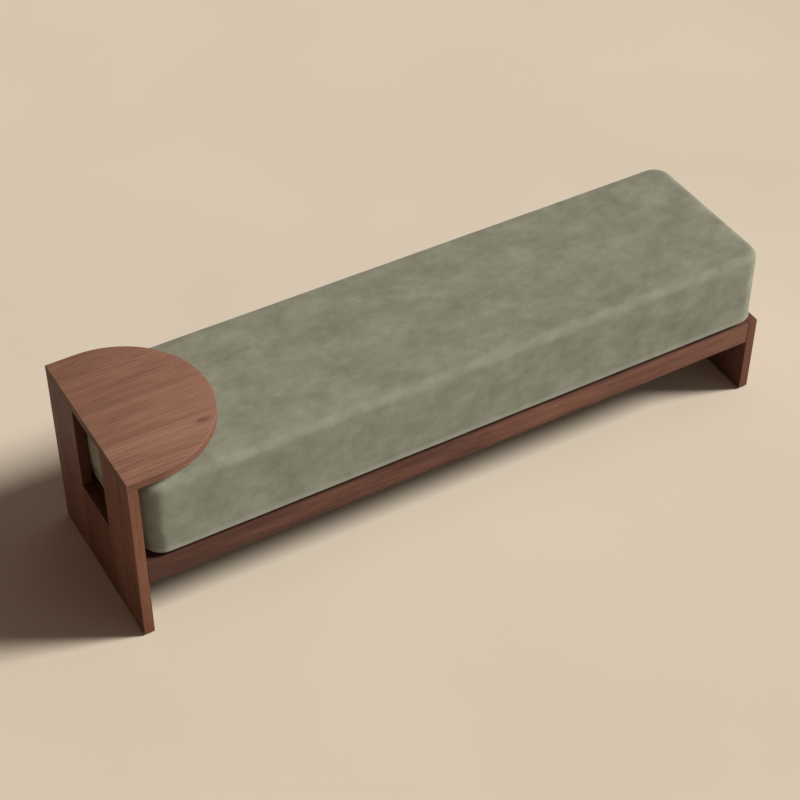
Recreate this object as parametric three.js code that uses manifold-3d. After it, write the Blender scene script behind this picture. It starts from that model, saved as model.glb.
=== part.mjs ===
// Backless divan: a walnut bench frame, a half-round table top over its left end and a loose padded seat.
// Millimetres, +X along the bench to the right, +Y to the back, +Z up.
// The origin lies on the floor under the middle of the bench.

import * as THREE from 'three';
import { RoundedBoxGeometry } from 'three/addons/geometries/RoundedBoxGeometry.js';
import { mergeVertices } from 'three/addons/utils/BufferGeometryUtils.js';
import Module from 'manifold-3d';

// The whole bench
const benchLength = 1728;
const benchDepth = 450;
const tableHeight = 485;
const platformHeight = 227;

// Boards of the two ends
const boardThickness = 26;
const postWidth = 150;
const arrisRadius = 1.5;

// Half-round top
const topThickness = 22;
const topStraightRun = 75;

// Rails, ledgers and slats of the platform
const railThickness = 26;
const railHeight = 65;
const railSetback = 0.5;
const ledgerWidth = 22;
const ledgerHeight = 22;
const slatCount = 11;
const slatWidth = 100;
const slatThickness = 18;
const slatEndClearance = 1;
const slatEndGap = 2;
const slatArrisRadius = 3;

// Batten that stiffens the joint under the half-round top
const battenWidth = 18;
const battenHeight = 18;
const battenSetback = 14;

// Corner blocks
const blockSize = 30;
const blockChamfer = 9;

// Dowels
const dowelDiameter = 8;
const dowelLength = 32;
const dowelChamfer = 1.2;
const dowelBoardDepth = 14;
const topDowelSpacing = 90;
const railDowelSpacing = 36;

// Screws of the corner blocks
const screwDiameter = 4;
const screwLength = 44;
const screwHeadDiameter = 8;
const screwHeadDepth = 2.6;
const screwPointLength = 6;

// Glides under the ends
const glideDiameter = 20;
const glideHeight = 3;
const glideChamfer = 0.6;
const glideInset = 40;

// Pad
const padEndClearance = 6;
const padEndInset = 4;
const padSideInset = 1;
const padTopClearance = 14;
const padCornerRadius = 51;
const padTopRadius = 26;
const padBottomRadius = 17;
const padBelly = 2.5;
const padCrown = 5;
const coverThickness = 2;
const foamTopThickness = 50;
const zipLength = 1100;
const zipWidth = 9;
const zipInset = 60;

// Fits
const glueLine = 0.25;
const boreClearance = 0.25;
const restClearance = 0.3;
const foamClearance = 0.3;
const cutOverrun = 5;
const weldDistance = 0.001;

// Counts
const roundSides = 12;
const arcSegments = 40;
const arrisSegments = 2;
const padCornerSegments = 7;
const padEdgeSegments = 5;
const padSideSegments = 4;
const padCrownSegments = 4;

// Shares
const dowelHeightShares = [0.28, 0.72];
const screwHeightShares = [0.3, 0.7];
const crownRunShare = 0.82;
const padRidgeRadiusShare = 0.12;

// Levels and faces that several pieces share
const leftFace = -benchLength / 2;
const rightFace = benchLength / 2;
const leftInnerFace = leftFace + boardThickness;
const rightInnerFace = rightFace - boardThickness;
const innerSpan = rightInnerFace - leftInnerFace;
const railOuterFace = benchDepth / 2 - railSetback;
const railInnerFace = railOuterFace - railThickness;
const railBottom = platformHeight - railHeight;
const slatUnderside = platformHeight - slatThickness;
const topUnderside = tableHeight - topThickness;
const postTop = topUnderside - glueLine;
const postCentre = benchDepth / 2 - postWidth / 2;
const panelWidth = benchDepth - 2 * postWidth;

const wasm = await Module();
wasm.setup();

// Materials

function walnutTop() {
  return new THREE.MeshStandardMaterial({ color: 0x8e6a54, roughness: 0.5, metalness: 0 });
}

function walnutFrame() {
  return new THREE.MeshStandardMaterial({ color: 0x7a5444, roughness: 0.55, metalness: 0 });
}

function stainedTimber() {
  return new THREE.MeshStandardMaterial({ color: 0x6a4a3a, roughness: 0.7, metalness: 0 });
}

function paleTimber() {
  return new THREE.MeshStandardMaterial({ color: 0xc9a878, roughness: 0.7, metalness: 0 });
}

function zincSteel() {
  return new THREE.MeshStandardMaterial({ color: 0xb9b4a4, roughness: 0.35, metalness: 1 });
}

function darkNylon() {
  return new THREE.MeshStandardMaterial({ color: 0x2b241f, roughness: 0.6, metalness: 0 });
}

function sageSuede() {
  return new THREE.MeshStandardMaterial({ color: 0x84806c, roughness: 0.95, metalness: 0 });
}

function paleFoam() {
  return new THREE.MeshStandardMaterial({ color: 0xe6ddc2, roughness: 1, metalness: 0 });
}

// Solids and cuts

function solidOf(geometry) {
  const bare = geometry.clone();
  bare.deleteAttribute('normal');
  bare.deleteAttribute('uv');
  const welded = mergeVertices(bare, weldDistance);
  return new wasm.Manifold(
    new wasm.Mesh({
      numProp: 3,
      vertProperties: welded.attributes.position.array,
      triVerts: new Uint32Array(welded.index.array),
    }),
  );
}

function geometryOf(solid) {
  const cut = solid.getMesh();
  const geometry = new THREE.BufferGeometry();
  geometry.setAttribute('position', new THREE.BufferAttribute(cut.vertProperties, 3));
  geometry.setIndex(new THREE.BufferAttribute(cut.triVerts, 1));
  geometry.computeVertexNormals();
  return geometry;
}

// Cutters are in the same coordinates as the geometry that they cut.
function cutAll(geometry, cutters) {
  if (cutters.length === 0) return geometry;
  let solid = solidOf(geometry);
  for (const cutter of cutters) solid = solid.subtract(solidOf(cutter));
  return geometryOf(solid);
}

// Turns a shape made along +Y so that it runs along the given direction.
function turnTo(geometry, direction) {
  const turn = new THREE.Quaternion().setFromUnitVectors(new THREE.Vector3(0, 1, 0), direction);
  return geometry.applyQuaternion(turn);
}

function addPiece(group, name, geometry, material, centre) {
  const mesh = new THREE.Mesh(geometry, material);
  mesh.name = name;
  mesh.position.copy(centre);
  group.add(mesh);
  return mesh;
}

// A planed board with softened arrises between two opposite corners, and the bores that run into it.
function addBoard(group, name, material, low, high, bores = [], arris = arrisRadius, steps = arrisSegments) {
  const size = high.clone().sub(low);
  const centre = high.clone().add(low).multiplyScalar(1 / 2);
  const board = new RoundedBoxGeometry(size.x, size.y, size.z, steps, arris);
  const cutters = bores.map((bore) => bore.clone().translate(-centre.x, -centre.y, -centre.z));
  return addPiece(group, name, cutAll(board, cutters), material, centre);
}

// Dowels

const alongX = new THREE.Vector3(1, 0, 0);
const alongY = new THREE.Vector3(0, 1, 0);
const alongZ = new THREE.Vector3(0, 0, 1);

function dowelProfile(clearance) {
  const radius = dowelDiameter / 2 + clearance;
  const half = dowelLength / 2 + clearance;
  return [
    new THREE.Vector2(0, -half),
    new THREE.Vector2(radius - dowelChamfer, -half),
    new THREE.Vector2(radius, dowelChamfer - half),
    new THREE.Vector2(radius, half - dowelChamfer),
    new THREE.Vector2(radius - dowelChamfer, half),
    new THREE.Vector2(0, half),
  ];
}

function dowelGeometry(direction, clearance = 0) {
  return turnTo(new THREE.LatheGeometry(dowelProfile(clearance), roundSides), direction);
}

function dowelBore(dowel) {
  const { x, y, z } = dowel.centre;
  return dowelGeometry(dowel.direction, boreClearance).translate(x, y, z);
}

// Two in the top end of each post, standing up into the half-round top.
function topDowels(side, label) {
  const middle = topUnderside + dowelBoardDepth - dowelLength / 2;
  return [-1, 1].map((step, index) => ({
    name: `top_dowel_${label}_${index + 1}`,
    direction: alongZ,
    centre: new THREE.Vector3(
      leftFace + boardThickness / 2,
      side * postCentre + (step * topDowelSpacing) / 2,
      middle,
    ),
  }));
}

// Two across each end of each rail, one above the other.
function railDowels(end, endLabel, side, sideLabel) {
  const faceX = end * (innerSpan / 2);
  const jointX = (leftInnerFace + rightInnerFace) / 2 + faceX;
  const middleZ = platformHeight - railHeight / 2;
  return [-1, 1].map((step, index) => ({
    name: `rail_dowel_${endLabel}_${sideLabel}_${index + 1}`,
    direction: alongX,
    centre: new THREE.Vector3(
      jointX + end * (dowelBoardDepth - dowelLength / 2),
      side * (railOuterFace - railThickness / 2),
      middleZ + (step * railDowelSpacing) / 2,
    ),
  }));
}

// Two across each upright joint between a post and the centre panel.
function panelDowels(side, label) {
  return dowelHeightShares.map((share, index) => ({
    name: `panel_dowel_${label}_${index + 1}`,
    direction: alongY,
    centre: new THREE.Vector3(
      leftFace + boardThickness / 2,
      (side * panelWidth) / 2,
      glideHeight + share * (platformHeight - glideHeight),
    ),
  }));
}

const frontTopDowels = topDowels(-1, 'front');
const backTopDowels = topDowels(1, 'back');
const frontPanelDowels = panelDowels(-1, 'front');
const backPanelDowels = panelDowels(1, 'back');
const leftFrontDowels = railDowels(-1, 'left', -1, 'front');
const leftBackDowels = railDowels(-1, 'left', 1, 'back');
const rightFrontDowels = railDowels(1, 'right', -1, 'front');
const rightBackDowels = railDowels(1, 'right', 1, 'back');

function addDowels(group, dowels) {
  for (const dowel of dowels) {
    addPiece(group, dowel.name, dowelGeometry(dowel.direction), paleTimber(), dowel.centre);
  }
}

// Corner blocks and their screws

// From the flat of the countersunk head down to the point, with the head's flat at the origin.
function screwProfile(clearance, headRun) {
  const shank = screwDiameter / 2 + clearance;
  const head = screwHeadDiameter / 2 + clearance;
  return [
    new THREE.Vector2(0, -screwLength - clearance),
    new THREE.Vector2(shank, screwPointLength - screwLength - clearance),
    new THREE.Vector2(shank, -screwHeadDepth - clearance),
    new THREE.Vector2(head, headRun > 0 ? -clearance : 0),
    ...(headRun > 0 ? [new THREE.Vector2(head, headRun)] : []),
    new THREE.Vector2(0, headRun),
  ];
}

function screwGeometry(screw) {
  return turnTo(new THREE.LatheGeometry(screwProfile(0, 0), roundSides), screw.backwards);
}

function screwBore(screw) {
  const bore = new THREE.LatheGeometry(screwProfile(boreClearance, cutOverrun), roundSides);
  return turnTo(bore, screw.backwards).translate(screw.head.x, screw.head.y, screw.head.z);
}

// One block stands in each inner corner, under the slats: its place, outline and two screws.
function cornerBlock(end, endLabel, side, sideLabel) {
  const boardFace = end < 0 ? leftInnerFace : rightInnerFace;
  const x = boardFace - end * glueLine;
  const y = side * (railInnerFace - glueLine);
  const height = slatUnderside - railBottom;
  const towardsX = -end * blockSize;
  const towardsY = -side * blockSize;
  const outline = new THREE.Shape([
    new THREE.Vector2(0, 0),
    new THREE.Vector2(towardsX, 0),
    new THREE.Vector2(towardsX, towardsY + side * blockChamfer),
    new THREE.Vector2(towardsX + end * blockChamfer, towardsY),
    new THREE.Vector2(0, towardsY),
  ]);
  const boardScrewY = y + (towardsY + side * blockChamfer) / 2;
  const railScrewX = x + (towardsX + end * blockChamfer) / 2;
  const [lower, upper] = screwHeightShares;
  const label = `${endLabel}_${sideLabel}`;
  return {
    name: `corner_block_${label}`,
    corner: new THREE.Vector3(x, y, railBottom),
    outline,
    height,
    boardScrew: {
      name: `block_screw_${label}_1`,
      backwards: new THREE.Vector3(-end, 0, 0),
      head: new THREE.Vector3(x + towardsX, boardScrewY, railBottom + lower * height),
    },
    railScrew: {
      name: `block_screw_${label}_2`,
      backwards: new THREE.Vector3(0, -side, 0),
      head: new THREE.Vector3(railScrewX, y + towardsY, railBottom + upper * height),
    },
  };
}

const leftFrontBlock = cornerBlock(-1, 'left', -1, 'front');
const leftBackBlock = cornerBlock(-1, 'left', 1, 'back');
const rightFrontBlock = cornerBlock(1, 'right', -1, 'front');
const rightBackBlock = cornerBlock(1, 'right', 1, 'back');
const cornerBlocks = [leftFrontBlock, leftBackBlock, rightFrontBlock, rightBackBlock];

function addCornerBlock(group, block) {
  const prism = new THREE.ExtrudeGeometry(block.outline, {
    depth: block.height - glueLine,
    bevelEnabled: false,
  });
  const screws = [block.boardScrew, block.railScrew];
  const bores = screws.map((screw) =>
    screwBore(screw).translate(-block.corner.x, -block.corner.y, -block.corner.z),
  );
  addPiece(group, block.name, cutAll(prism, bores), stainedTimber(), block.corner);
  for (const screw of screws) addPiece(group, screw.name, screwGeometry(screw), zincSteel(), screw.head);
}

// The half-round top: a straight run over the end boards, then a true half circle as wide as the bench.
function addHalfRoundTop(group) {
  const radius = benchDepth / 2;
  const outline = new THREE.Shape();
  outline.moveTo(0, -radius);
  outline.lineTo(topStraightRun, -radius);
  outline.absarc(topStraightRun, 0, radius, -Math.PI / 2, Math.PI / 2, false);
  outline.lineTo(0, radius);
  outline.closePath();
  const plate = new THREE.ExtrudeGeometry(outline, {
    depth: topThickness - 2 * arrisRadius,
    bevelThickness: arrisRadius,
    bevelSize: arrisRadius,
    bevelOffset: -arrisRadius,
    bevelSegments: arrisSegments,
    curveSegments: arcSegments,
  }).translate(0, 0, arrisRadius);
  const corner = new THREE.Vector3(leftFace, 0, topUnderside);
  const bores = [...frontTopDowels, ...backTopDowels].map((dowel) =>
    dowelBore(dowel).translate(-corner.x, -corner.y, -corner.z),
  );
  addPiece(group, 'half_round_top', cutAll(plate, bores), walnutTop(), corner);
}

// The left end: two posts and a lower centre panel, edge to edge, which leave a window under the top.
function addLeftEnd(group) {
  const half = benchDepth / 2;
  const x = [leftFace, leftInnerFace];
  addBoard(
    group,
    'end_post_front',
    walnutFrame(),
    new THREE.Vector3(x[0], -half, glideHeight),
    new THREE.Vector3(x[1], postWidth - half, postTop),
    [
      ...[...frontTopDowels, ...frontPanelDowels, ...leftFrontDowels].map(dowelBore),
      screwBore(leftFrontBlock.boardScrew),
    ],
  );
  addBoard(
    group,
    'end_post_back',
    walnutFrame(),
    new THREE.Vector3(x[0], half - postWidth, glideHeight),
    new THREE.Vector3(x[1], half, postTop),
    [
      ...[...backTopDowels, ...backPanelDowels, ...leftBackDowels].map(dowelBore),
      screwBore(leftBackBlock.boardScrew),
    ],
  );
  addBoard(
    group,
    'end_centre_panel',
    walnutFrame(),
    new THREE.Vector3(x[0], glueLine - panelWidth / 2, glideHeight),
    new THREE.Vector3(x[1], panelWidth / 2 - glueLine, platformHeight),
    [...frontPanelDowels, ...backPanelDowels].map(dowelBore),
  );
}

// A square batten glued into the corner under the half-round top carries its overhang to the posts.
function addBatten(group) {
  const reach = benchDepth / 2 - battenSetback;
  const x = leftInnerFace + glueLine;
  const top = topUnderside - glueLine;
  addBoard(
    group,
    'top_batten',
    walnutFrame(),
    new THREE.Vector3(x, -reach, top - battenHeight),
    new THREE.Vector3(x + battenWidth, reach, top),
  );
}

// The right end: one board over the full depth, level with the rails.
function addRightLeg(group) {
  const half = benchDepth / 2;
  addBoard(
    group,
    'right_leg_panel',
    walnutFrame(),
    new THREE.Vector3(rightInnerFace, -half, glideHeight),
    new THREE.Vector3(rightFace, half, platformHeight),
    [
      ...[...rightFrontDowels, ...rightBackDowels].map(dowelBore),
      screwBore(rightFrontBlock.boardScrew),
      screwBore(rightBackBlock.boardScrew),
    ],
  );
}

// Both rails run between the end boards, and a ledger on the inner face of each carries the slats.
function addRail(group, side, label, dowels, blocks) {
  const outer = side * railOuterFace;
  const inner = side * railInnerFace;
  addBoard(
    group,
    `rail_${label}`,
    walnutFrame(),
    new THREE.Vector3(leftInnerFace + glueLine, Math.min(outer, inner), railBottom),
    new THREE.Vector3(rightInnerFace - glueLine, Math.max(outer, inner), platformHeight),
    [...dowels.map(dowelBore), ...blocks.map((block) => screwBore(block.railScrew))],
  );
  const endRoom = blockSize + 2 * glueLine;
  const near = side * (railInnerFace - glueLine);
  const far = side * (railInnerFace - glueLine - ledgerWidth);
  addBoard(
    group,
    `ledger_${label}`,
    stainedTimber(),
    new THREE.Vector3(leftInnerFace + endRoom, Math.min(near, far), slatUnderside - glueLine - ledgerHeight),
    new THREE.Vector3(rightInnerFace - endRoom, Math.max(near, far), slatUnderside - glueLine),
    [],
    arrisRadius,
    1,
  );
}

// Slats lie across the ledgers, level with the tops of the rails. The outer two lie close to the end boards.
function addSlats(group) {
  const gap = (innerSpan - 2 * slatEndGap - slatCount * slatWidth) / (slatCount - 1);
  const reach = railInnerFace - slatEndClearance;
  for (let index = 0; index < slatCount; index++) {
    const start = leftInnerFace + slatEndGap + index * (slatWidth + gap);
    addBoard(
      group,
      `slat_${String(index + 1).padStart(2, '0')}`,
      stainedTimber(),
      new THREE.Vector3(start, -reach, slatUnderside),
      new THREE.Vector3(start + slatWidth, reach, platformHeight),
      [],
      slatArrisRadius,
      1,
    );
  }
}

// Nail-on glides keep the boards off the floor: one near the front and back of each end.
function addGlides(group) {
  const radius = glideDiameter / 2;
  const profile = [
    new THREE.Vector2(0, 0),
    new THREE.Vector2(radius - glideChamfer, 0),
    new THREE.Vector2(radius, glideChamfer),
    new THREE.Vector2(radius, glideHeight - glueLine),
    new THREE.Vector2(0, glideHeight - glueLine),
  ];
  for (const [end, endLabel] of [[-1, 'left'], [1, 'right']]) {
    for (const [side, sideLabel] of [[-1, 'front'], [1, 'back']]) {
      const disc = turnTo(new THREE.LatheGeometry(profile, 2 * roundSides), alongZ);
      const x = end * (benchLength / 2 - boardThickness / 2);
      const y = side * (benchDepth / 2 - glideInset);
      addPiece(group, `glide_${endLabel}_${sideLabel}`, disc, darkNylon(), new THREE.Vector3(x, y, 0));
    }
  }
}

// The pad: a block of foam in a zipped cover, with soft edges, a slight belly and a low crown.

const padLow = new THREE.Vector3(leftInnerFace + padEndClearance, padSideInset - benchDepth / 2, 0);
const padHigh = new THREE.Vector3(rightFace - padEndInset, benchDepth / 2 - padSideInset, 0);
const padLength = padHigh.x - padLow.x;
const padDepth = padHigh.y - padLow.y;
const padBottom = platformHeight + restClearance;
const padHeight = topUnderside - padTopClearance - padBottom;
const padPlace = new THREE.Vector3((padLow.x + padHigh.x) / 2, 0, padBottom);

// Inset from the side and height above the underside, from the flat of the underside to the crown.
function padLevels(shrink) {
  const bottomRadius = padBottomRadius - shrink;
  const topRadius = padTopRadius - shrink;
  const sideLow = shrink + bottomRadius;
  const sideHigh = padHeight - padCrown - shrink - topRadius;
  const crownRun = (padDepth / 2 - padBelly - padTopRadius) * crownRunShare;
  const levels = [];
  for (let i = 0; i < padEdgeSegments; i++) {
    const angle = (Math.PI / 2) * (1 - i / padEdgeSegments);
    const inset = padBelly + bottomRadius * (1 - Math.cos(angle));
    levels.push({ inset, height: sideLow - bottomRadius * Math.sin(angle) });
  }
  for (let i = 0; i <= padSideSegments; i++) {
    const up = i / padSideSegments;
    levels.push({ inset: padBelly * (2 * up - 1) ** 2, height: sideLow + up * (sideHigh - sideLow) });
  }
  for (let i = 1; i <= padEdgeSegments; i++) {
    const angle = ((Math.PI / 2) * i) / padEdgeSegments;
    const inset = padBelly + topRadius * (1 - Math.cos(angle));
    levels.push({ inset, height: sideHigh + topRadius * Math.sin(angle) });
  }
  for (let i = 1; i <= padCrownSegments; i++) {
    const across = i / padCrownSegments;
    levels.push({
      inset: padBelly + topRadius + across * crownRun,
      height: padHeight - shrink - padCrown * (1 - across) ** 2,
    });
  }
  return levels;
}

// One level of the pad: a rectangle with round corners, as a ring of points.
function padRing(level, shrink) {
  const halfX = padLength / 2 - shrink - level.inset;
  const halfY = padDepth / 2 - shrink - level.inset;
  const radius = Math.max(padCornerRadius - shrink - level.inset, padRidgeRadiusShare * halfY);
  const points = [];
  for (const [quarter, signX, signY] of [[0, 1, 1], [1, -1, 1], [2, -1, -1], [3, 1, -1]]) {
    for (let i = 0; i <= padCornerSegments; i++) {
      const angle = (Math.PI / 2) * (quarter + i / padCornerSegments);
      points.push([
        signX * (halfX - radius) + radius * Math.cos(angle),
        signY * (halfY - radius) + radius * Math.sin(angle),
        level.height,
      ]);
    }
  }
  return points;
}

// Rings joined into one closed skin, with a fan of faces over the first and the last.
function padGeometry(shrink) {
  const rings = padLevels(shrink).map((level) => padRing(level, shrink));
  const count = rings[0].length;
  const positions = rings.flat(2);
  const faces = [];
  for (let r = 0; r + 1 < rings.length; r++) {
    for (let i = 0; i < count; i++) {
      const here = r * count + i;
      const next = r * count + ((i + 1) % count);
      faces.push(here, next, next + count, here, next + count, here + count);
    }
  }
  const last = (rings.length - 1) * count;
  const underside = rings.length * count;
  positions.push(0, 0, rings[0][0][2]);
  positions.push(0, 0, rings[rings.length - 1][0][2]);
  for (let i = 0; i < count; i++) {
    const next = (i + 1) % count;
    faces.push(underside, next, i);
    faces.push(underside + 1, last + i, last + next);
  }
  const geometry = new THREE.BufferGeometry();
  geometry.setAttribute('position', new THREE.BufferAttribute(new Float32Array(positions), 3));
  geometry.setIndex(faces);
  geometry.computeVertexNormals();
  return geometry;
}

function zipBar(clearance, overrun) {
  const bar = new THREE.BoxGeometry(
    zipLength - 2 * clearance,
    zipWidth - 2 * clearance,
    coverThickness + 2 * overrun,
  );
  return bar.translate(0, padDepth / 2 - zipInset, coverThickness / 2);
}

function addPad(group) {
  const zipMouth = zipBar(0, foamClearance);
  const cover = cutAll(padGeometry(0), [padGeometry(coverThickness), zipMouth]);
  addPiece(group, 'pad_cover', cover, sageSuede(), padPlace);
  addPiece(group, 'pad_zip', zipBar(restClearance, 0), darkNylon(), padPlace);

  const foam = solidOf(padGeometry(coverThickness + foamClearance));
  const split = padHeight - coverThickness - foamClearance - padCrown - foamTopThickness;
  const lowerHalf = new THREE.BoxGeometry(padLength, padDepth, padHeight);
  lowerHalf.translate(0, 0, split - padHeight / 2);
  const upperHalf = lowerHalf.clone().translate(0, 0, padHeight + glueLine);
  const base = geometryOf(foam.intersect(solidOf(lowerHalf)));
  const top = geometryOf(foam.intersect(solidOf(upperHalf)));
  addPiece(group, 'pad_foam_base', base, paleFoam(), padPlace);
  addPiece(group, 'pad_foam_top', top, paleFoam(), padPlace);
}

const endFrame = new THREE.Group();
addHalfRoundTop(endFrame);
addLeftEnd(endFrame);
addBatten(endFrame);
addDowels(endFrame, [...frontTopDowels, ...backTopDowels, ...frontPanelDowels, ...backPanelDowels]);

const platform = new THREE.Group();
addRightLeg(platform);
addRail(platform, -1, 'front', [...leftFrontDowels, ...rightFrontDowels], [leftFrontBlock, rightFrontBlock]);
addRail(platform, 1, 'back', [...leftBackDowels, ...rightBackDowels], [leftBackBlock, rightBackBlock]);
addSlats(platform);
addDowels(platform, [...leftFrontDowels, ...leftBackDowels, ...rightFrontDowels, ...rightBackDowels]);
for (const block of cornerBlocks) addCornerBlock(platform, block);
addGlides(platform);

const pad = new THREE.Group();
addPad(pad);

const divan = new THREE.Group();
divan.add(endFrame, platform, pad);

export default divan;
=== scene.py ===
import math
import bpy
import bmesh
from mathutils import Euler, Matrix, Quaternion, Vector, noise
from mathutils.bvhtree import BVHTree


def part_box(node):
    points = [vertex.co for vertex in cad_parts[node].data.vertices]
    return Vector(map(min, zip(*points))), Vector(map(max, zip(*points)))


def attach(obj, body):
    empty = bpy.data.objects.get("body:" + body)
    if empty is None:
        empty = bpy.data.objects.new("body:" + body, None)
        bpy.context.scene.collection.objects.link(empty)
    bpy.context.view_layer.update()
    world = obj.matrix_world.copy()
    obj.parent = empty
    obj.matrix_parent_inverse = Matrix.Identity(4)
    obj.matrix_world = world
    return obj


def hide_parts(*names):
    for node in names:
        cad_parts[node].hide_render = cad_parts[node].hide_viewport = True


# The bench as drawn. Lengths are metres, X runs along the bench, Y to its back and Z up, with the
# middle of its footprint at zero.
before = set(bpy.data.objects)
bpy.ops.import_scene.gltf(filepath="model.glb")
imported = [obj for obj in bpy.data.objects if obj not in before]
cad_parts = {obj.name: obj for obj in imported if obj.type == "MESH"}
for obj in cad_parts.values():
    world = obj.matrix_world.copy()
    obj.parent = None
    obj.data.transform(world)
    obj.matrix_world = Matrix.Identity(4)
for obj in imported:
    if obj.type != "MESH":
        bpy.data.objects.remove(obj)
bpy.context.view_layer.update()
bpy.context.scene.view_settings.view_transform = "Standard"

# The view. The eye stands off the bench's front left corner, above head height, and looks down on
# it through a long lens, so that the far end narrows only a little.
view_side = math.radians(-30.08)
view_height = math.radians(42.43)
view_tilt = math.radians(0.165)
eye = Vector((-1.8514, -3.0704, 3.4371))
lens_length = 88.14
sensor_width = 36
lens_shift_across = 0.0069
lens_shift_up = 0.0011
to_eye = Vector((
    math.sin(view_side) * math.cos(view_height),
    -math.cos(view_side) * math.cos(view_height),
    math.sin(view_height),
))
lens = bpy.data.cameras.new("bench_view")
lens.lens = lens_length
lens.sensor_width = sensor_width
lens.shift_x = lens_shift_across
lens.shift_y = lens_shift_up
view = bpy.data.objects.new("bench_view", lens)
view.location = eye
view.rotation_mode = "QUATERNION"
view.rotation_quaternion = (-to_eye).to_track_quat("-Z", "Y") @ Quaternion((0, 0, 1), view_tilt)
bpy.context.collection.objects.link(view)
bpy.context.scene.camera = view

# The room. One broad lamp hangs off the bench's right front corner and leaves a soft shadow to the
# left. The rest is a soft pale surround, a little brighter from the right and the front, and a
# plain sand-coloured floor.
floor_reach = 40
floor_mottle = (1.3, 1.3, 1.3)
floor_roughness = 0.85
floor_shine = 0.2
lamp_bearing = math.radians(21)
lamp_height = math.radians(33.3)
lamp_distance = 12
lamp_spread = math.radians(14.6)
lamp_level = 4.35
lamp_colour = (1, 0.995, 0.98)
surround_light = 0.235
surround_lean = (0.165, -0.07, -0.12)
dim_side = -0.21
bright_side = 0.05
cool_white = (0.95, 1, 1.01, 1)
straight_knee = 0.04045
straight_slope = 12.92
curve_lift = 0.055
curve_power = 2.4


def paint(red, green, blue):
    """A colour as it looks on a swatch, from its parts out of 255."""
    parts = []
    for part in (red / 255, green / 255, blue / 255):
        if part <= straight_knee:
            parts.append(part / straight_slope)
        else:
            parts.append(((part + curve_lift) / (1 + curve_lift)) ** curve_power)
    return (*parts, 1)


def put(tree, kind, inputs=None, **settings):
    """One node, with each input either set or joined to another node's output."""
    node = tree.nodes.new(kind)
    for name, setting in settings.items():
        setattr(node, name, setting)
    for socket, source in (inputs or {}).items():
        if isinstance(source, bpy.types.NodeSocket):
            tree.links.new(source, node.inputs[socket])
        else:
            node.inputs[socket].default_value = source
    return node


def start_finish(name):
    """A new finish with its surface, ready for colour, gloss and relief, and the places on a piece."""
    finish = bpy.data.materials.new(name)
    finish.use_nodes = True
    tree = finish.node_tree
    tree.nodes.clear()
    surface = put(tree, "ShaderNodeBsdfPrincipled")
    put(tree, "ShaderNodeOutputMaterial", {"Surface": surface.outputs[0]})
    place = put(tree, "ShaderNodeTexCoord").outputs["Object"]
    return finish, tree, surface, place


def sums(tree, action, *values):
    """Arithmetic on single values."""
    return put(tree, "ShaderNodeMath", dict(enumerate(values)), operation=action).outputs[0]


def points(tree, action, *values):
    """Arithmetic on places."""
    return put(tree, "ShaderNodeVectorMath", dict(enumerate(values)), operation=action).outputs[0]


def reading(tree, action, *values):
    """A single value taken from places or directions, such as a length or how far two agree."""
    return put(tree, "ShaderNodeVectorMath", dict(enumerate(values)), operation=action).outputs["Value"]


def clouds(tree, place, stretch, detail, rough, out="Fac"):
    """Soft random patches; stretch says how many there are to a metre each way."""
    spread_place = points(tree, "MULTIPLY", place, stretch)
    settings = {"Vector": spread_place, "Scale": 1, "Detail": detail, "Roughness": rough}
    return put(tree, "ShaderNodeTexNoise", settings).outputs[out]


def between(tree, value, low, high, at_low, at_high):
    """Stretches the span from low to high to another span, and holds it at the ends."""
    settings = {0: value, 1: low, 2: high, 3: at_low, 4: at_high}
    return put(tree, "ShaderNodeMapRange", settings).outputs[0]


def over(tree, share, under, top):
    """Lays one colour over another by a share."""
    return put(tree, "ShaderNodeMix", {0: share, 6: under, 7: top}, data_type="RGBA").outputs[2]


def stepped(tree, value, *steps):
    """A run of colours along a value; each step is its place and its colour."""
    ramp = put(tree, "ShaderNodeValToRGB", {0: value})
    while len(ramp.color_ramp.elements) < len(steps):
        ramp.color_ramp.elements.new(1)
    for element, (at, colour) in zip(ramp.color_ramp.elements, steps):
        element.position = at
        element.color = colour
    return ramp.outputs[0]


floor_finish, tree, surface, place = start_finish("plain_floor")
mottle = clouds(tree, place, floor_mottle, detail=3, rough=0.5)
floor_colour = stepped(tree, mottle, (0.3, paint(222, 207, 184)), (0.7, paint(227, 212, 190)))
ray = put(tree, "ShaderNodeLightPath").outputs
floor_colour = over(tree, ray["Is Camera Ray"], paint(198, 194, 183), floor_colour)
tree.links.new(floor_colour, surface.inputs["Base Color"])
surface.inputs["Roughness"].default_value = floor_roughness
surface.inputs["Specular IOR Level"].default_value = floor_shine
ground = bmesh.new()
bmesh.ops.create_grid(ground, x_segments=2, y_segments=2, size=floor_reach)
floor_mesh = bpy.data.meshes.new("plain_floor")
ground.to_mesh(floor_mesh)
ground.free()
floor_mesh.materials.append(floor_finish)
floor = bpy.data.objects.new("plain_floor", floor_mesh)
bpy.context.collection.objects.link(floor)

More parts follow.
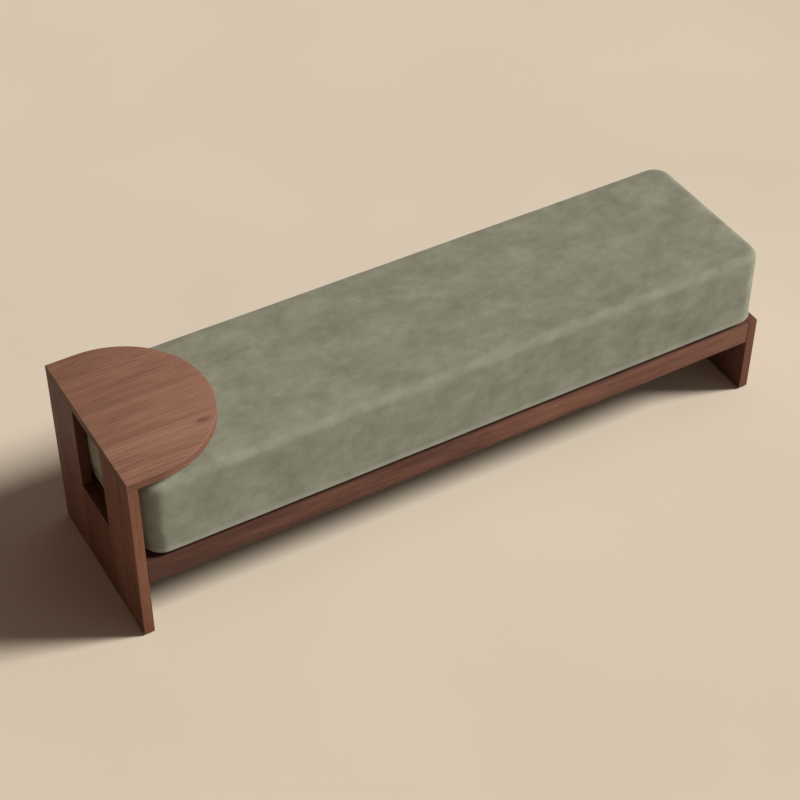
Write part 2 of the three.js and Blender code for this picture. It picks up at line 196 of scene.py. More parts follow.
surround = bpy.data.worlds.new("surround")
surround.use_nodes = True
tree = surround.node_tree
tree.nodes.clear()
ray = put(tree, "ShaderNodeLightPath").outputs
seen = sums(tree, "MAXIMUM", ray["Is Camera Ray"], ray["Is Glossy Ray"])
seen = sums(tree, "MAXIMUM", seen, ray["Is Transmission Ray"])
bearing = put(tree, "ShaderNodeTexCoord").outputs["Generated"]
lean = reading(tree, "DOT_PRODUCT", bearing, surround_lean)
soft_level = sums(tree, "ADD", lean, surround_light)
soft_side = between(tree, lean, dim_side, bright_side, 0, 1)
soft_colour = over(tree, soft_side, paint(255, 170, 120), cool_white)
soft = put(tree, "ShaderNodeBackground", {0: soft_colour, 1: soft_level})
pale = put(tree, "ShaderNodeBackground", {0: paint(232, 222, 205), 1: 1})
sky = put(tree, "ShaderNodeMixShader", {0: seen, 1: soft.outputs[0], 2: pale.outputs[0]})
put(tree, "ShaderNodeOutputWorld", {0: sky.outputs[0]})
bpy.context.scene.world = surround

lamp_light = bpy.data.lights.new("broad_lamp", "SUN")
lamp_light.angle = lamp_spread
lamp_light.energy = lamp_level
lamp_light.color = lamp_colour
lamp = bpy.data.objects.new("broad_lamp", lamp_light)
to_lamp = Vector((
    math.cos(lamp_bearing) * math.cos(lamp_height),
    -math.sin(lamp_bearing) * math.cos(lamp_height),
    math.sin(lamp_height),
))
lamp.location = to_lamp * lamp_distance
lamp.rotation_mode = "QUATERNION"
lamp.rotation_quaternion = to_lamp.to_track_quat("Z", "Y")
bpy.context.collection.objects.link(lamp)

# The half-round table top is one flat walnut board, oiled to a satin finish, with its grain along
# the bench and one small knot. It is dowelled down onto the two posts and reaches over the pad.
along_bench = (0, 0, 0)
upright = (0, math.radians(90), 0)
across_bench = (0, 0, math.radians(90))
drift_grain = (1.1, 3.2, 3.2)
drift_width = (0, 0.05, 0.05)
streak_grain = (4.2, 44, 44)
band_grain = (0.9, 11, 11)
fibre_grain = (15, 330, 330)
pore_grain = (75, 1150, 1150)
ring_grain = (0.1, 1, 1)
ring_unit = math.tau / 20
base_tone = 0.165
streak_tone = 0.21
band_tone = 0.16
ring_tone = 0.09
fibre_tone = 0.2
end_grain_tone = 0.17
pore_share = 0.5
worn_edge = 0.003
worn_share = 0.16
hand_marks = (17, 17, 17)
oil_shine = 0.14
oil_rich = 0.04
oil_dry = 0.05
fibre_dull = 0.06
fibre_height = 0.6
pore_sink = 0.5
grain_relief = 0.35
grain_depth = 0.0004
knot_middle = (-0.631, -0.119, 0.485)
knot_reach = (29, 88, 20)
knot_pull = (0, -0.75, 0)
knot_colour = paint(92, 59, 46)


def mixed(tree, start, *patterns):
    """Adds patterns up; each is a value, the span of it that counts, and its weight."""
    total = start
    for value, low, high, weight in patterns:
        share = sums(tree, "MULTIPLY", between(tree, value, low, high, 0, 1), weight)
        total = sums(tree, "ADD", total, share)
    return total


def raise_relief(tree, surface, height, strength, depth):
    """Raises and sinks a surface by a pattern."""
    bump = put(tree, "ShaderNodeBump", {"Strength": strength, "Distance": depth, "Height": height})
    tree.links.new(bump.outputs[0], surface.inputs["Normal"])


def wood(name, turn, heart, tones, ring_gap, roughness, knot=None, painted_shade=()):
    """A board's finish. Turn brings its grain to the first axis, and heart places the log's middle.
    Each part of painted shade says which way it fades, where it is darkest, where it ends and how dark it
    is."""
    finish, tree, surface, place = start_finish(name)
    spot = place
    if knot:
        aside = points(tree, "SUBTRACT", spot, knot)
        reach = reading(tree, "LENGTH", points(tree, "MULTIPLY", aside, knot_reach))
        bend = sums(tree, "DIVIDE", 1, sums(tree, "ADD", 1, sums(tree, "MULTIPLY", reach, reach)))
        pull = points(tree, "MULTIPLY", aside, knot_pull)
        moved = put(tree, "ShaderNodeVectorMath", {0: pull, "Scale": bend}, operation="SCALE").outputs[0]
        spot = points(tree, "ADD", spot, moved)
    settings = {"Vector": spot, "Location": heart, "Rotation": turn}
    board = put(tree, "ShaderNodeMapping", settings).outputs[0]
    drift = clouds(tree, board, drift_grain, detail=2, rough=0.5, out="Color")
    wander = points(tree, "MULTIPLY", points(tree, "SUBTRACT", drift, (0.5, 0.5, 0.5)), drift_width)
    grain = points(tree, "ADD", board, wander)
    streak = clouds(tree, grain, streak_grain, detail=4, rough=0.58)
    band = clouds(tree, grain, band_grain, detail=2, rough=0.5)
    fibre = clouds(tree, grain, fibre_grain, detail=3, rough=0.6)
    rings = put(tree, "ShaderNodeTexWave", {
        "Vector": points(tree, "MULTIPLY", grain, ring_grain),
        "Scale": ring_unit / ring_gap,
        "Distortion": 2.2,
        "Detail": 2,
        "Detail Scale": 0.25,
    }, wave_type="RINGS", rings_direction="X", wave_profile="SIN").outputs[1]
    tone = mixed(tree, base_tone, (streak, 0.28, 0.72, streak_tone), (band, 0.3, 0.7, band_tone),
                 (rings, 0, 1, ring_tone), (fibre, 0.25, 0.75, fibre_tone))
    way_of_grain = Vector((1, 0, 0))
    way_of_grain.rotate(Euler(turn).to_matrix().inverted())
    faces = put(tree, "ShaderNodeTexCoord").outputs["Normal"]
    end_grain = sums(tree, "ABSOLUTE", reading(tree, "DOT_PRODUCT", faces, way_of_grain))
    tone = sums(tree, "SUBTRACT", tone, between(tree, end_grain, 0.15, 0.9, 0, end_grain_tone))
    # Painted shade: each part listed darkens the board's tone where shade falls on it.
    for part in painted_shade:
        along = reading(tree, "DOT_PRODUCT", spot, part["way"])
        shade = between(tree, along, part["darkest"], part["ends"], part["amount"], 0)
        tone = sums(tree, "SUBTRACT", tone, shade)
    colour = stepped(tree, tone, (0.16, tones[0]), (0.42, tones[1]), (0.62, tones[2]), (0.88, tones[3]))
    pores = between(tree, clouds(tree, grain, pore_grain, detail=1, rough=0.5), 0.6, 0.7, 0, 1)
    colour = over(tree, sums(tree, "MULTIPLY", pores, pore_share), colour, tones[0])
    if knot:
        mark = between(tree, reach, 0.3, 0.75, 1, 0)
        mark = sums(tree, "MULTIPLY", mark, between(tree, fibre, 0.42, 0.58, 1, 0.35))
        colour = over(tree, mark, colour, knot_colour)
    soft_face = put(tree, "ShaderNodeBevel", {"Radius": worn_edge}, samples=4).outputs[0]
    true_face = put(tree, "ShaderNodeNewGeometry").outputs["Normal"]
    at_edge = between(tree, reading(tree, "DOT_PRODUCT", soft_face, true_face), 0.82, 0.995, 1, 0)
    handled = clouds(tree, spot, hand_marks, detail=2, rough=0.6)
    worn = sums(tree, "MULTIPLY", at_edge, between(tree, handled, 0.35, 0.65, 0.25, 0.8))
    colour = over(tree, sums(tree, "MULTIPLY", worn, worn_share), colour, tones[3])
    tree.links.new(colour, surface.inputs["Base Color"])
    oiled = between(tree, handled, 0.3, 0.7, roughness - oil_rich, roughness + oil_dry)
    oiled = mixed(tree, oiled, (fibre, 0.3, 0.7, fibre_dull))
    tree.links.new(oiled, surface.inputs["Roughness"])
    surface.inputs["Specular IOR Level"].default_value = oil_shine
    raised = sums(tree, "MULTIPLY", fibre, fibre_height)
    sunk = sums(tree, "MULTIPLY", pores, pore_sink)
    raise_relief(tree, surface, sums(tree, "SUBTRACT", raised, sunk), grain_relief, grain_depth)
    return finish


def refinish(finish, *names):
    """Gives drawn pieces their finish."""
    for name in names:
        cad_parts[name].material_slots[0].material = finish


top_tones = (paint(116, 79, 63), paint(146, 106, 86), paint(160, 120, 100), paint(182, 142, 121))
# Painted shade: the table top is darker towards its back left, and its edge and underside, below the upper
# face, are darker.
top_back_left = dict(way=(0.85, -0.53, 0), darkest=-0.82, ends=-0.42, amount=0.28)
top_edge = dict(way=(0, 0, 1), darkest=0.4838, ends=0.4849, amount=0.24)
top_finish = wood("walnut_table_top", along_bench, (0.3, 0.42, -0.29), top_tones, ring_gap=0.009,
                  roughness=0.5, knot=knot_middle, painted_shade=(top_back_left, top_edge))
refinish(top_finish, "half_round_top")

# The left end is three upright walnut boards edge to edge: two posts, floor to table top, and a
# shorter middle board between them, dowelled and glued, which leaves a window above it.
post_tones = (paint(88, 53, 40), paint(122, 78, 59), paint(137, 91, 70), paint(159, 113, 90))
# Painted shade: the front post is darker towards the floor and on its inner face at the window, and the back
# post is darker on its window side.
post_foot = dict(way=(0, 0, 1), darkest=0, ends=0.3, amount=0.15)
post_inner_face = dict(way=(-1, 0, 0), darkest=0.8382, ends=0.8392, amount=0.5)
window_side = dict(way=(0, 1, 0), darkest=0.0753, ends=0.0765, amount=0.5)
front_post_finish = wood("walnut_front_post", upright, (0.1, 0.35, 0.21), post_tones, ring_gap=0.008,
                         roughness=0.52, painted_shade=(post_foot, post_inner_face))
refinish(front_post_finish, "end_post_front")
back_post_finish = wood("walnut_back_post", upright, (2.3, -0.44, 0.18), post_tones, ring_gap=0.008,
                        roughness=0.52, painted_shade=(window_side,))
refinish(back_post_finish, "end_post_back")
panel_tones = (paint(78, 43, 31), paint(103, 62, 45), paint(118, 74, 55), paint(140, 93, 72))
panel_finish = wood("walnut_middle_board", upright, (4.7, 0.02, 0.3), panel_tones, ring_gap=0.007,
                    roughness=0.52)
refinish(panel_finish, "end_centre_panel")

# The right end is one low walnut board, as deep as the bench, standing on edge with its grain
# upright. The two rails butt against it and are dowelled in.
leg_tones = (paint(84, 51, 39), paint(110, 72, 56), paint(123, 83, 65), paint(144, 101, 80))
# Painted shade: the leg is darker towards the floor.
leg_foot = dict(way=(0, 0, 1), darkest=0, ends=0.227, amount=0.2)
leg_finish = wood("walnut_right_leg", upright, (7.1, 0.16, 0.24), leg_tones, ring_gap=0.008,
                  roughness=0.52, painted_shade=(leg_foot,))
refinish(leg_finish, "right_leg_panel")

# The two long rails are walnut, planed almost flush with the ends' edges and level with the slats.
# They carry the whole platform and are dowelled and glued to the end boards.
rail_tones = (paint(83, 53, 42), paint(129, 87, 70), paint(154, 108, 88), paint(182, 134, 111))
# Painted shade on the front rail: darker towards its left end, towards its lower edge, and along its top
# edge under the pad's lip.
rail_left_end = dict(way=(1, 0, 0), darkest=-0.9, ends=0.75, amount=0.36)
rail_lower_edge = dict(way=(0, 0, 1), darkest=0.162, ends=0.19, amount=0.08)
rail_upper_edge = dict(way=(0, 0, -1), darkest=-0.2265, ends=-0.223, amount=0.2)
front_rail_finish = wood("walnut_front_rail", along_bench, (4.4, 0.37, -0.03), rail_tones, ring_gap=0.007,
                         roughness=0.5, painted_shade=(rail_left_end, rail_lower_edge, rail_upper_edge))
refinish(front_rail_finish, "rail_front")
back_rail_finish = wood("walnut_back_rail", along_bench, (3.4, -0.39, 0.02), rail_tones, ring_gap=0.007,
                        roughness=0.5)
refinish(back_rail_finish, "rail_back")

# The batten is a square walnut strip glued into the corner under the table top, behind the posts. It
# stiffens the joint that carries the overhang.
batten_finish = wood("walnut_batten", across_bench, (8.3, 0.3, 0.1), post_tones, ring_gap=0.007,
                      roughness=0.55)
refinish(batten_finish, "top_batten")

# The slats, the ledgers under their ends and the corner blocks are plain beech, stained dark to go
# with the walnut. They are glued, and the blocks are screwed as well.
stain_tones = (paint(78, 52, 40), paint(98, 67, 52), paint(108, 75, 59), paint(124, 89, 72))
slat_finish = wood("stained_slats", across_bench, (1.7, 0, 0.35), stain_tones, ring_gap=0.006, roughness=0.6)
refinish(slat_finish, *[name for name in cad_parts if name.startswith("slat_")])
ledger_finish = wood("stained_ledgers", along_bench, (5.2, 0.1, 0.2), stain_tones, ring_gap=0.006,
                     roughness=0.6)
refinish(ledger_finish, "ledger_front", "ledger_back")
block_finish = wood("stained_blocks", upright, (6.4, 0.1, 0.2), stain_tones, ring_gap=0.006, roughness=0.6)
refinish(block_finish, *[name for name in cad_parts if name.startswith("corner_block_")])

# The dowels are fluted beech pins, hidden in the glued joints of the rails, the posts and the top.
# Those of the rails and the middle board lie flat, and those of the table top stand upright.
pin_tones = (paint(176, 140, 104), paint(198, 163, 125), paint(208, 175, 138), paint(221, 192, 158))
dowel_finish = wood("beech_dowels", along_bench, (2.9, 0.05, 0.1), pin_tones, ring_gap=0.004, roughness=0.66)
refinish(dowel_finish, *[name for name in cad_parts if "_dowel_" in name])

# The block screws are zinc-plated wood screws, one into the end board and one into the rail from
# each corner block, with a flat head drawn down into the block.
zinc_bloom = (260, 260, 260)
zinc_scratches = (900, 2400, 900)
zinc_dull = paint(168, 168, 160)
zinc_clean = paint(196, 198, 196)
zinc_warm = paint(210, 205, 182)
screw_finish, tree, surface, place = start_finish("zinc_plate")
bloom = clouds(tree, place, zinc_bloom, detail=3, rough=0.6)
plate_colour = stepped(tree, bloom, (0.3, zinc_dull), (0.55, zinc_clean), (0.75, zinc_warm))
tree.links.new(plate_colour, surface.inputs["Base Color"])
tree.links.new(between(tree, bloom, 0.3, 0.7, 0.28, 0.44), surface.inputs["Roughness"])
surface.inputs["Metallic"].default_value = 1
scratch = clouds(tree, place, zinc_scratches, detail=2, rough=0.5)
raise_relief(tree, surface, scratch, strength=0.2, depth=0.0001)
refinish(screw_finish, *[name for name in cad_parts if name.startswith("block_screw_")])

# The glides are dark nylon discs, tapped into the lower edges of the two ends, so that the boards'
# end grain stays off the floor.
nylon_mould = (1500, 1500, 1500)
nylon_scuffs = (90, 90, 90)
glide_finish, tree, surface, place = start_finish("dark_nylon")
mould = clouds(tree, place, nylon_mould, detail=2, rough=0.6)
scuff = clouds(tree, place, nylon_scuffs, detail=3, rough=0.6)
glide_colour = stepped(tree, scuff, (0.35, paint(33, 31, 30)), (0.7, paint(56, 53, 50)))
tree.links.new(glide_colour, surface.inputs["Base Color"])
tree.links.new(between(tree, scuff, 0.3, 0.7, 0.42, 0.62), surface.inputs["Roughness"])
raise_relief(tree, surface, mould, strength=0.25, depth=0.0001)
refinish(glide_finish, *[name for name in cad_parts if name.startswith("glide_")])

# The pad is a thick block of foam in a loose cover of sage-green suede cloth, pulled smooth over it
# with soft round edges and a low crown. It lies loose on the slats. Its bottom panel is sewn in
# under a small rolled lip, a finger's width above the slats, so a dark gap shows all round.
pad_low, pad_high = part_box("pad_cover")
pad_size = pad_high - pad_low
corner_round = 0.051
top_round = 0.026
bottom_round = 0.017
round_steps = 8
crown_height = 0.005
side_belly = 0.0025
end_belly = 0.0045
front_belly = 0.0005
back_fullness = 0.003
toe = 0.0034
toe_height = 0.12
end_tuck = 0.0048
skirt_height = 0.03
soft_swell = 0.0015
voxel = 0.01
swell_pressure = 4
swell_frames = 20
held_turn = 0.985
dimple_depth = 0.0005
dimple_size = Vector((9, 14, 14))
lower_edge_run = (
    (-0.0003, 0.0258), (-0.0009, 0.0224), (-0.0015, 0.0198), (-0.0019, 0.0176), (-0.002, 0.0157),
    (-0.0017, 0.014), (-0.001, 0.0127), (0.0001, 0.0118), (0.0013, 0.0113), (0.002, 0.012),
    (0.0028, 0.0121), (0.0036, 0.0109), (0.0065, 0.0091), (0.011, 0.0064), (0.017, 0.0035),
    (0.024, 0.0013), (0.03, 0.0002), (0.036, 0),
)
underside_cell = 0.055
zip_low, zip_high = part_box("pad_zip")
zip_margin = 0.0006
hair = 1e-5
least_move = 1e-6
nap_shift = (3.1, 0.7, 0.4)
nap_patches = (10.5, 12.5, 12)
nap_strokes = (30, 42, 38)
nap_fuzz = (950, 950, 950)
nap_dark = paint(120, 119, 101)
nap_middle = paint(136, 135, 117)
nap_light = paint(152, 151, 134)
# The next colour is both worn nap and a painted highlight, laid on the upper edges and above the lip; the
# one after it is painted warm light on the pad's shaded left end.
nap_worn_and_lit = paint(160, 158, 144)
painted_end_light = paint(194, 182, 146)
nap_bloom = paint(226, 226, 214)
patch_weight = 0.44
stroke_weight = 0.28
fuzz_weight = 0.28
# How strong the worn nap with its painted highlight is and where it lies, on the upper edges and above the
# lip, then the painted light on the left end.
upper_wear_and_highlight = 0.4
lip_wear_and_highlight = 1.9
lip_wear_and_highlight_starts = 0.0104
lip_wear_and_highlight_full = 0.0144
lip_wear_and_highlight_fades = 0.0184
lip_wear_and_highlight_gone = 0.0274
worn_and_lit_cloth_share = 0.3
end_light_share = 0.45
end_light_full = 0.002
end_light_gone = 0.009
stroke_height = 0.9
fuzz_height = 0.12
nap_shine = 0.12
nap_bloom_weight = 0.75
nap_bloom_spread = 0.3
nap_relief = 0.35
nap_depth = 0.0016


def outer_edges(mesh, test):
    """The edges whose two ends both pass a test."""
    return [edge for edge in mesh.edges if all(test(vert.co) for vert in edge.verts)]


def round_off(mesh, edges, reach, steps):
    """Rounds edges over to a radius."""
    bmesh.ops.bevel(mesh, geom=edges, offset=reach, offset_type="OFFSET", segments=steps,
                    profile=0.5, affect="EDGES", material=-1, clamp_overlap=False)


def hand_over(mesh, name, finish, body):
    """Makes a shaped piece a part of the bench."""
    data = bpy.data.meshes.new(name)
    mesh.to_mesh(data)
    mesh.free()
    data.materials.append(finish)
    piece = bpy.data.objects.new(name, data)
    bpy.context.collection.objects.link(piece)
    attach(piece, body)
    return piece


def settled(piece):
    """The piece's mesh with its modifiers made real."""
    graph = bpy.context.evaluated_depsgraph_get()
    graph.update()
    made = bpy.data.meshes.new_from_object(piece.evaluated_get(graph), depsgraph=graph)
    piece.modifiers.clear()
    piece.data = made


def padded_block(low, high, corner, upper, lower, steps):
    """A block with round corners and softer upper edges, shaped from a plain one."""
    block = bmesh.new()
    bmesh.ops.create_cube(block, size=1)
    bmesh.ops.scale(block, vec=high - low, verts=block.verts)
    bmesh.ops.translate(block, vec=(low + high) / 2, verts=block.verts)
    half_height = (high - low).z / 2
    standing = [e for e in block.edges if abs(e.verts[0].co.z - e.verts[1].co.z) > half_height]
    round_off(block, standing, corner, steps + 3)
    round_off(block, outer_edges(block, lambda at: at.z > high.z - hair), upper, steps + 1)
    round_off(block, outer_edges(block, lambda at: at.z < low.z + hair), lower, steps)
    return block


def part_of(tree, place, axis):
    """One of the three parts of a place or direction."""
    return put(tree, "ShaderNodeSeparateXYZ", {0: place}).outputs[axis]


def suede(name):
    """Brushed suede cloth: soft clouds where the nap lies one way or the other, and a fine fuzz. It
    is a little worn along the upper edges and the lip, with a painted highlight there too, and has
    painted warm light on the end under the table top."""
    finish, tree, surface, place = start_finish(name)
    patch = clouds(tree, points(tree, "ADD", place, nap_shift), nap_patches, detail=3, rough=0.55)
    stroke = clouds(tree, place, nap_strokes, detail=3, rough=0.6)
    fuzz = clouds(tree, place, nap_fuzz, detail=2, rough=0.6)
    nap = mixed(tree, 0, (patch, 0.3, 0.7, patch_weight), (stroke, 0.3, 0.7, stroke_weight),
                (fuzz, 0.3, 0.7, fuzz_weight))
    colour = stepped(tree, nap, (0.12, nap_dark), (0.5, nap_middle), (0.88, nap_light))
    slope = part_of(tree, put(tree, "ShaderNodeTexCoord").outputs["Normal"], 2)
    # Worn nap with a painted highlight along the rounded upper edges.
    upper_edge = sums(tree, "MULTIPLY", between(tree, slope, 0.3, 0.62, 0, upper_wear_and_highlight),
                      between(tree, slope, 0.8, 0.99, 1, 0))
    height = part_of(tree, place, 2)
    # Worn nap with a painted highlight in a band just above the lip.
    above_lip = between(tree, height, pad_low.z + lip_wear_and_highlight_fades, pad_low.z + lip_wear_and_highlight_gone, 1, 0)
    lip = between(tree, height, pad_low.z + lip_wear_and_highlight_starts, pad_low.z + lip_wear_and_highlight_full, 0, lip_wear_and_highlight)
    worn = sums(tree, "MAXIMUM", upper_edge, sums(tree, "MULTIPLY", lip, above_lip))
    worn = sums(tree, "MULTIPLY", worn, between(tree, stroke, 0.25, 0.7, 0.6, 1))
    colour = over(tree, sums(tree, "MULTIPLY", worn, worn_and_lit_cloth_share), colour, nap_worn_and_lit)
    # Painted light: the left end, in shade under the table top, is made paler and warmer.
    length = part_of(tree, place, 0)
    painted_light_end = between(tree, length, pad_low.x + end_light_full, pad_low.x + end_light_gone, end_light_share, 0)
    colour = over(tree, painted_light_end, colour, painted_end_light)
    tree.links.new(colour, surface.inputs["Base Color"])
    tree.links.new(between(tree, nap, 0, 1, 0.94, 0.8), surface.inputs["Roughness"])
    surface.inputs["Specular IOR Level"].default_value = nap_shine
    surface.inputs["Sheen Weight"].default_value = nap_bloom_weight
    surface.inputs["Sheen Roughness"].default_value = nap_bloom_spread
    surface.inputs["Sheen Tint"].default_value = nap_bloom
    brushed = sums(tree, "MULTIPLY", stroke, stroke_height)
    fluffed = sums(tree, "MULTIPLY", fuzz, fuzz_height)
    raise_relief(tree, surface, sums(tree, "ADD", brushed, fluffed), nap_relief, nap_depth)
    return finish


def outward_at(place):
    """Which way is straight out of the pad's outline at a place on it."""
    core_x = min(max(place.x, pad_low.x + corner_round), pad_high.x - corner_round)
    core_y = min(max(place.y, pad_low.y + corner_round), pad_high.y - corner_round)
    return Vector((place.x - core_x, place.y - core_y, 0)).normalized()


def of_kind(parts, kind):
    """The points, edges or faces among the parts that a step gives back."""
    return [part for part in parts if isinstance(part, kind)]


suede_finish = suede("sage_suede_cloth")
start_low = pad_low + Vector((side_belly, side_belly, 0))
start_high = pad_high - Vector((side_belly, side_belly, crown_height))
blank = padded_block(start_low, start_high, corner_round, top_round, bottom_round, round_steps)
cut_form = BVHTree.FromBMesh(blank)
pad = hand_over(blank, "pad", suede_finish, "seat_pad")
remesh = pad.modifiers.new("even_weave", "REMESH")
remesh.mode = "VOXEL"
remesh.voxel_size = voxel
settled(pad)
start_places = [vert.co.copy() for vert in pad.data.vertices]
outward = [vert.normal.copy() for vert in pad.data.vertices]
edge_points = [vert.index for vert in pad.data.vertices
               if max(abs(part) for part in vert.normal) < held_turn]
held = pad.vertex_groups.new(name="held_by_the_foam_edges")
held.add(edge_points, 1, "REPLACE")
swell = pad.modifiers.new("stuffing", "CLOTH")
swell.settings.vertex_group_mass = held.name
swell.settings.use_pressure = True
swell.settings.uniform_pressure_force = swell_pressure
swell.settings.effector_weights.gravity = 0
swell.point_cache.frame_start = 1
swell.point_cache.frame_end = swell_frames
for step in range(1, swell_frames + 1):
    bpy.context.scene.frame_set(step)
settled(pad)
bpy.context.scene.frame_set(1)
pad.vertex_groups.clear()
swollen = [vert.co - start for vert, start in zip(pad.data.vertices, start_places)]
bulge = Vector((soft_swell, soft_swell, crown_height))
fullest = [max(least_move, max(abs(moved[axis]) for moved in swollen)) for axis in range(3)]
for vert, start, moved, out in zip(pad.data.vertices, start_places, swollen, outward):
    at = cut_form.find_nearest(start)[0]
    up = (at.z - pad_low.z) / (start_high.z - pad_low.z)
    belly = 1 - (2 * up - 1) ** 2
    rise = min(1, max(0, (at.z - pad_low.z - skirt_height) / (toe_height - skirt_height)))
    at.x += out.x * (side_belly * belly if out.x > 0 else end_belly * belly - end_tuck * (1 - rise) ** 2)
    at.y += out.y * (back_fullness if out.y > 0 else front_belly * belly + toe * (1 - rise) ** 2)
    at += Vector([moved[axis] * bulge[axis] / fullest[axis] for axis in range(3)])
    dimple = noise.noise(Vector([start[axis] * dimple_size[axis] for axis in range(3)])) * dimple_depth
    at += out * (dimple - dimple_depth / 2)
    at.z = max(pad_low.z, at.z)
    vert.co = at
rounder = pad.modifiers.new("rounder", "SUBSURF")
rounder.levels = 1
rounder.render_levels = 1
settled(pad)
cover = bmesh.new()
cover.from_mesh(pad.data)
whole = cover.verts[:] + cover.edges[:] + cover.faces[:]
cut = bmesh.ops.bisect_plane(cover, geom=whole, plane_co=(0, 0, pad_low.z + skirt_height),
                             plane_no=(0, 0, 1), clear_inner=True)
rim = of_kind(cut["geom_cut"], bmesh.types.BMEdge)
inset = 0
for further_in, height in lower_edge_run:
    grown = bmesh.ops.extrude_edge_only(cover, edges=rim)["geom"]
    ring = set(of_kind(grown, bmesh.types.BMVert))
    rim = [edge for edge in of_kind(grown, bmesh.types.BMEdge) if all(vert in ring for vert in edge.verts)]
    for vert in ring:
        vert.co -= outward_at(vert.co) * (further_in - inset)
        vert.co.z = pad_low.z + height
    inset = further_in
bmesh.ops.edgeloop_fill(cover, edges=rim)
cuts = [(zip_low.x - zip_margin, 0), (zip_high.x + zip_margin, 0)]
cuts += [(zip_low.y - zip_margin, 1), (zip_high.y + zip_margin, 1)]
cuts += [(pad_low.x + underside_cell * step, 0) for step in range(1, int(pad_size.x / underside_cell) + 1)]
cuts += [(pad_low.y + underside_cell * step, 1) for step in range(1, int(pad_size.y / underside_cell) + 1)]
for where, way in cuts:
    underside = [face for face in cover.faces if face.calc_center_median().z < pad_low.z + hair]
    parts = {part for face in underside for part in (face, *face.edges, *face.verts)}
    bmesh.ops.bisect_plane(cover, geom=list(parts), plane_co=[where * (way == axis) for axis in range(3)],
                           plane_no=[float(way == axis) for axis in range(3)], dist=hair)
slot_faces = []
for face in cover.faces:
    at = face.calc_center_median()
    if at.z < pad_low.z + hair and zip_low.x < at.x < zip_high.x and zip_low.y < at.y < zip_high.y:
        slot_faces.append(face)
raised = bmesh.ops.extrude_face_region(cover, geom=slot_faces)["geom"]
slot_depth = zip_high.z - pad_low.z + zip_margin / 3
bmesh.ops.translate(cover, vec=(0, 0, slot_depth), verts=of_kind(raised, bmesh.types.BMVert))
bmesh.ops.delete(cover, geom=[face for face in slot_faces if face.is_valid], context="FACES")
bmesh.ops.recalc_face_normals(cover, faces=cover.faces)
for face in cover.faces:
    face.smooth = True
cover.to_mesh(pad.data)
cover.free()
pad.data.materials.clear()
pad.data.materials.append(suede_finish)
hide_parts("pad_cover")

# The zip is a nylon coil on two woven tapes, let into the cover's bottom panel near the back so that
# the foam can be put in and taken out. Its slider is parked at the right end, with the pull laid flat.
tape_gap = 0.0007
tape_lift = 0.0006
tape_thickness = 0.0006
tape_ease = 0.0001
link_pitch = 0.0022
link_half = Vector((0.00035, 0.0011, 0.0006))
link_stagger = 0.0003
end_tack = 0.004
tack_inset = Vector((0, 0.0006, 0.0003))
tack_ease = 0.0003
slider_length = 0.009
slider_gap = 0.0004
slider_inset = 0.0003
slider_ease = 0.0004
pull_length = 0.016
pull_overlap = 0.005
pull_half_width = 0.0022
pull_thickness = 0.0005
pull_ease = 0.0002
ease_steps = 2
weave_scale = 260
zip_marks = (60, 60, 60)


def add_block(mesh, low, high, ease=0):
    """Adds a small block between two corners, its edges eased by a little."""
    made = bmesh.ops.create_cube(mesh, size=1)["verts"]
    bmesh.ops.scale(mesh, vec=high - low, verts=made)
    bmesh.ops.translate(mesh, vec=(low + high) / 2, verts=made)
    if ease:
        round_off(mesh, list({edge for vert in made for edge in vert.link_edges}), ease, ease_steps)


zip_finish, tree, surface, place = start_finish("dark_zip_nylon")
ribs = {"Vector": place, "Scale": weave_scale, "Distortion": 0.4, "Detail": 1}
weave = put(tree, "ShaderNodeTexWave", ribs, bands_direction="DIAGONAL").outputs[1]
handled = clouds(tree, place, zip_marks, detail=2, rough=0.5)
zip_tone = sums(tree, "ADD", sums(tree, "MULTIPLY", weave, 0.35), sums(tree, "MULTIPLY", handled, 0.65))
zip_colour = stepped(tree, zip_tone, (0.2, paint(44, 44, 37)), (0.8, paint(66, 66, 56)))
tree.links.new(zip_colour, surface.inputs["Base Color"])
tree.links.new(between(tree, handled, 0.3, 0.7, 0.5, 0.68), surface.inputs["Roughness"])
raise_relief(tree, surface, weave, strength=0.4, depth=0.0002)
zip_middle = (zip_low + zip_high) / 2
zip_parts = bmesh.new()
tape_low = zip_low.z + tape_lift
tape_high = tape_low + tape_thickness
add_block(zip_parts, Vector((zip_low.x, zip_low.y, tape_low)),
          Vector((zip_high.x, zip_middle.y - tape_gap, tape_high)), tape_ease)
add_block(zip_parts, Vector((zip_low.x, zip_middle.y + tape_gap, tape_low)),
          Vector((zip_high.x, zip_high.y, tape_high)), tape_ease)
slider_start = zip_high.x - end_tack - slider_length
link_at = Vector((zip_low.x + end_tack, zip_middle.y, tape_low + tape_thickness / 2))
side = 1
while link_at.x < slider_start - link_pitch:
    shifted = link_at + Vector((0, side * link_stagger, 0))
    add_block(zip_parts, shifted - link_half, shifted + link_half)
    link_at.x += link_pitch
    side = -side
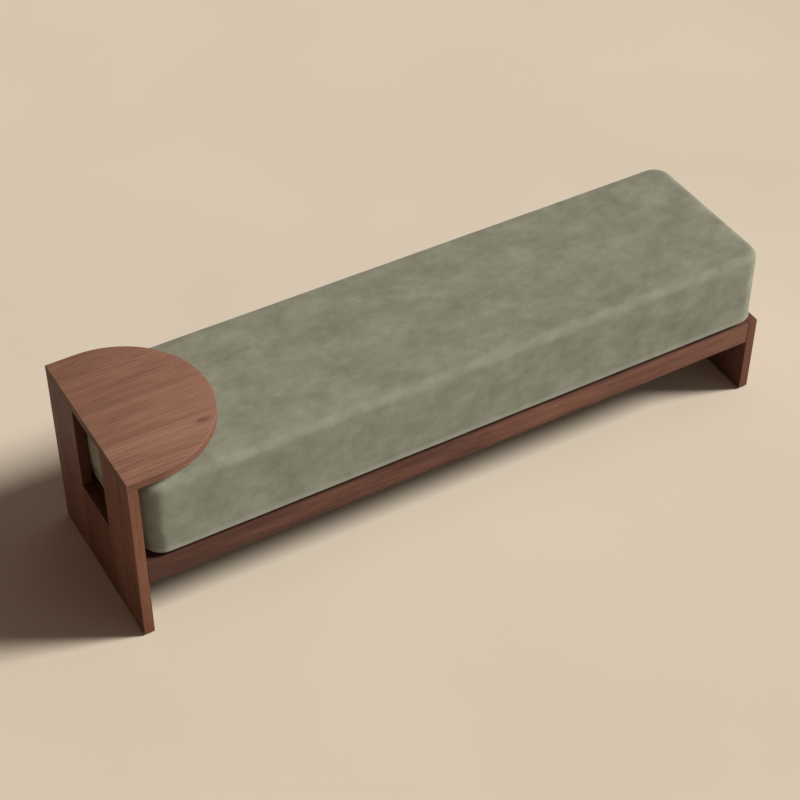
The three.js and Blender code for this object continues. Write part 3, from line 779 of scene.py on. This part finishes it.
for tack in (zip_low.x, zip_high.x - end_tack):
    add_block(zip_parts, Vector((tack, zip_low.y, zip_low.z)) + tack_inset,
              Vector((tack + end_tack, zip_high.y, zip_high.z)) - tack_inset, tack_ease)
slider_end = slider_start + slider_length - slider_gap
add_block(zip_parts, Vector((slider_start, zip_low.y + slider_inset, zip_low.z + pull_thickness)),
          Vector((slider_end, zip_high.y - slider_inset, zip_high.z)), slider_ease)
pull_start = slider_start - pull_length + pull_overlap
pull_end = slider_start + pull_overlap
add_block(zip_parts, Vector((pull_start, zip_middle.y - pull_half_width, zip_low.z)),
          Vector((pull_end, zip_middle.y + pull_half_width, zip_low.z + pull_thickness)), pull_ease)
bmesh.ops.recalc_face_normals(zip_parts, faces=zip_parts.faces)
zip_piece = hand_over(zip_parts, "cover_zip", zip_finish, "seat_pad")
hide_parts("pad_zip")

# Inside the cover is a firm block of foam with a softer layer glued on top, each cut square and
# eased at the edges by the cover's pull.
foam_gap = Vector((0.009, 0.009, 0.004))
foam_rounds = {"pad_foam_base": (0.004, 0.012), "pad_foam_top": (0.022, 0.004)}
foam_steps = 3
foam_cells = 700
foam_patches = (6, 6, 6)
foam_roughness = 0.95
foam_finish, tree, surface, place = start_finish("cut_foam")
cells = put(tree, "ShaderNodeTexVoronoi", {"Vector": place, "Scale": foam_cells}).outputs["Distance"]
yellowing = clouds(tree, place, foam_patches, detail=2, rough=0.5)
foam_colour = stepped(tree, yellowing, (0.3, paint(228, 216, 186)), (0.7, paint(238, 230, 206)))
foam_colour = over(tree, between(tree, cells, 0.1, 0.5, 0.3, 0), foam_colour, paint(190, 176, 146))
tree.links.new(foam_colour, surface.inputs["Base Color"])
surface.inputs["Roughness"].default_value = foam_roughness
raise_relief(tree, surface, cells, strength=0.6, depth=0.0008)
for layer, (upper, lower) in foam_rounds.items():
    layer_low, layer_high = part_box(layer)
    block = padded_block(layer_low + foam_gap, layer_high - foam_gap, corner_round - foam_gap.x,
                         upper, lower, foam_steps)
    foam = hand_over(block, layer + "_block", foam_finish, "seat_pad")
    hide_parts(layer)
